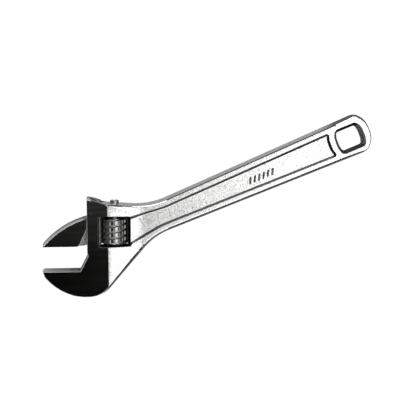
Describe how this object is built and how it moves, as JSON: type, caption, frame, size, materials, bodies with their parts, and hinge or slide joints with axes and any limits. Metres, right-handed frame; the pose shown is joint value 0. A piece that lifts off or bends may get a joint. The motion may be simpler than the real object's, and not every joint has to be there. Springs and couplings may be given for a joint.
{
  "type": "adjustable wrench",
  "caption": "Chrome adjustable wrench with an open, angled head, a sliding jaw driven by a knurled worm, and a flat panelled handle with a hanging hole.",
  "frame": {"origin": "middle of the fixed jaw's flat face, halfway through its thickness", "axes": "+X along the jaw faces towards the handle, +Y out of the fixed jaw's face, the way the movable jaw opens, +Z square to the broad side"},
  "size_m": [0.2341, 0.1294, 0.0182],
  "materials": {
    "chrome_plate": "satin chrome plate, with brushed mirror bands on the ground head and jaw",
    "chrome_plate_jaw": "brushed mirror chrome plate",
    "knurled_steel": "knurled and plated steel",
    "pin_steel": "turned steel, slotted head",
    "spring_steel": "oiled spring wire"
  },
  "bodies": {
    "wrench_body": {"body": "chrome_plate", "worm_pin": "pin_steel", "worm_spring": "spring_steel"},
    "jaw": {"movable_jaw": "chrome_plate_jaw"},
    "worm_body": {"worm": "knurled_steel"}
  },
  "joints": [
    {"name": "jaw_slide", "type": "slide", "parent": "wrench_body", "child": "jaw", "axis": [0, 1, 0], "range_m": [-0.0173, 0.0125]},
    {"name": "worm_spin", "type": "hinge", "parent": "wrench_body", "child": "worm_body", "pos_m": [0.0366, 0.02775, 0], "axis": [0, 1, 0], "range_deg": [-540, 745]}
  ],
  "couplings": [
    {"joint": "worm_spin", "follows": "jaw_slide", "rad_per_m": -748}
  ]
}
